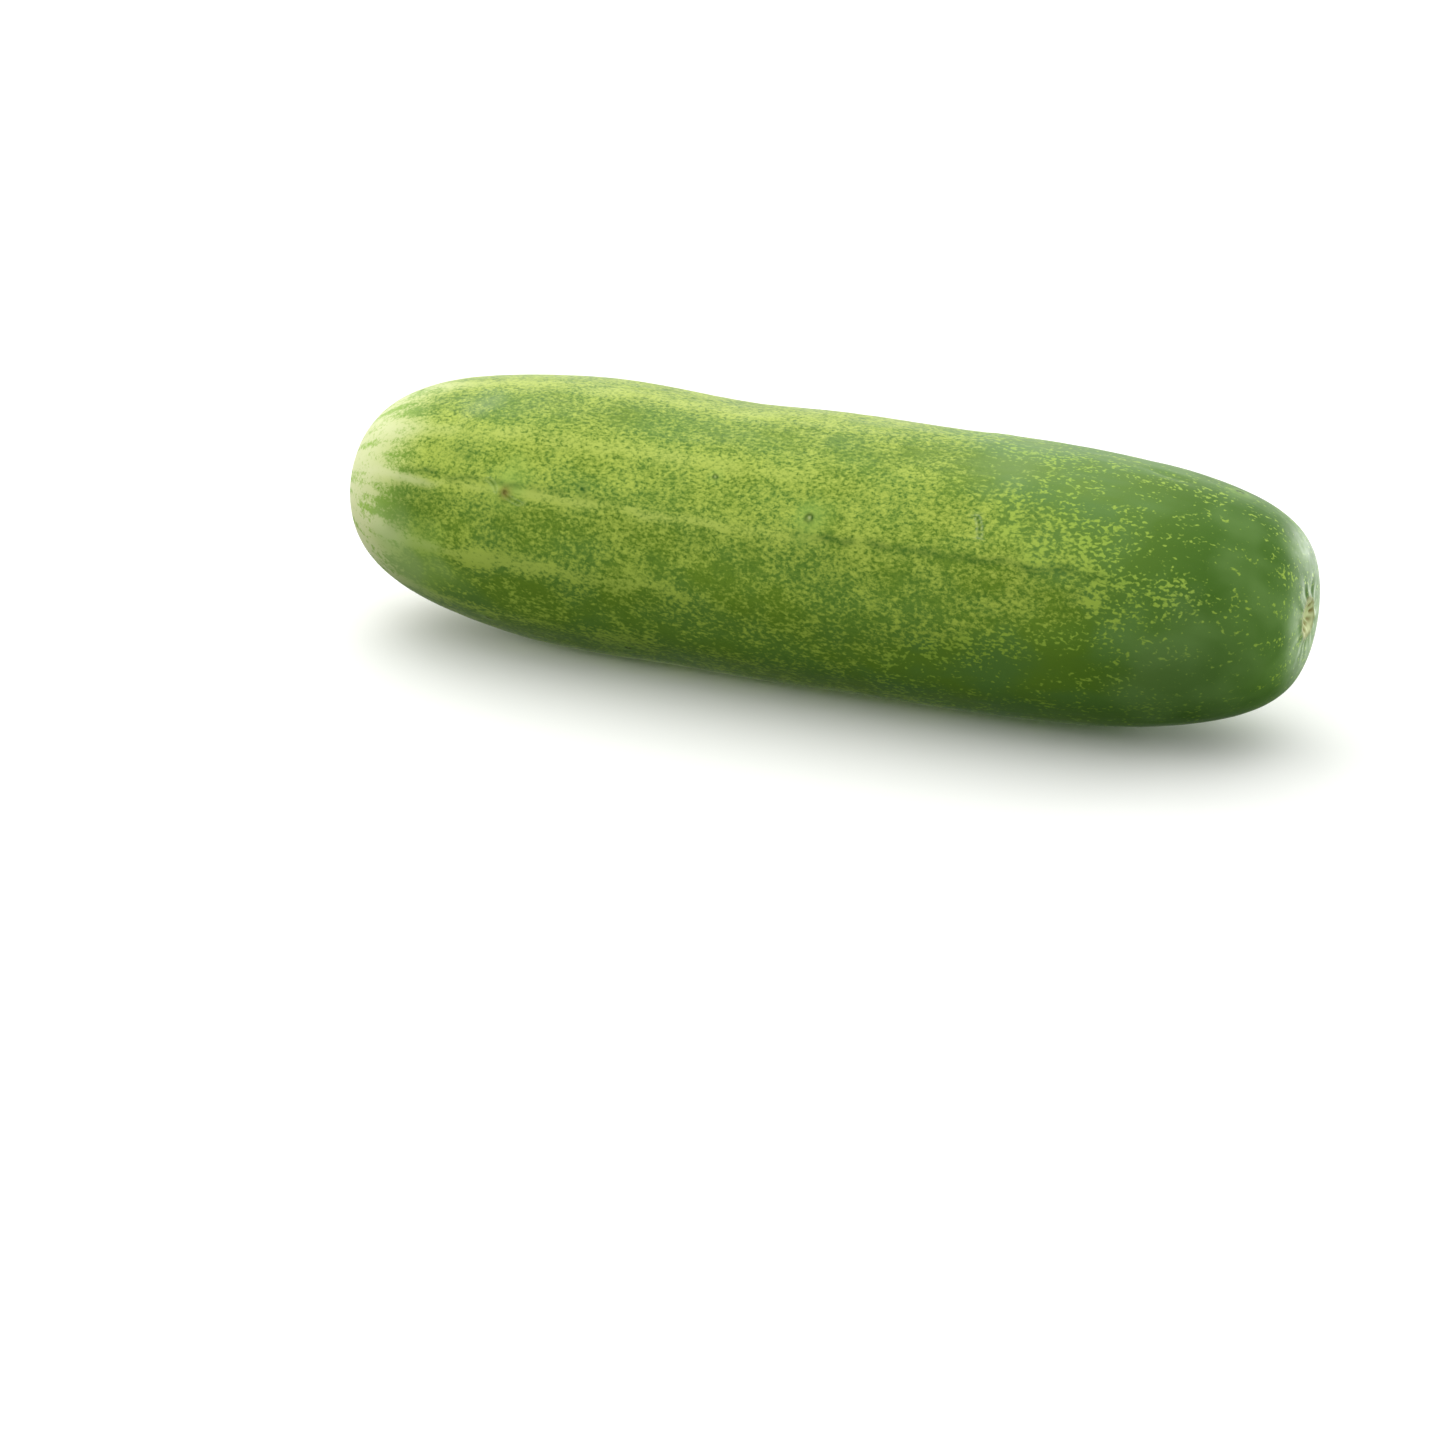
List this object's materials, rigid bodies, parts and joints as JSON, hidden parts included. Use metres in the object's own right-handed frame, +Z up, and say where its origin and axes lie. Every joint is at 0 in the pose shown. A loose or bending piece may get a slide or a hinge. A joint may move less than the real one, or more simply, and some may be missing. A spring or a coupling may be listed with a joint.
{
  "type": "cucumber",
  "caption": "Short, stout whole cucumber lying on its belly, with blunt ends, a stem scar and a small blossom scar.",
  "frame": {"origin": "on the surface that the fruit lies on, under the middle of its box", "axes": "+X along the fruit from its blossom end to its stem end, +Z up"},
  "size_m": [0.1784, 0.0486, 0.0481],
  "materials": {
    "skin": "satin"
  },
  "bodies": {
    "root": {"cucumber": "skin"}
  },
  "joints": []
}
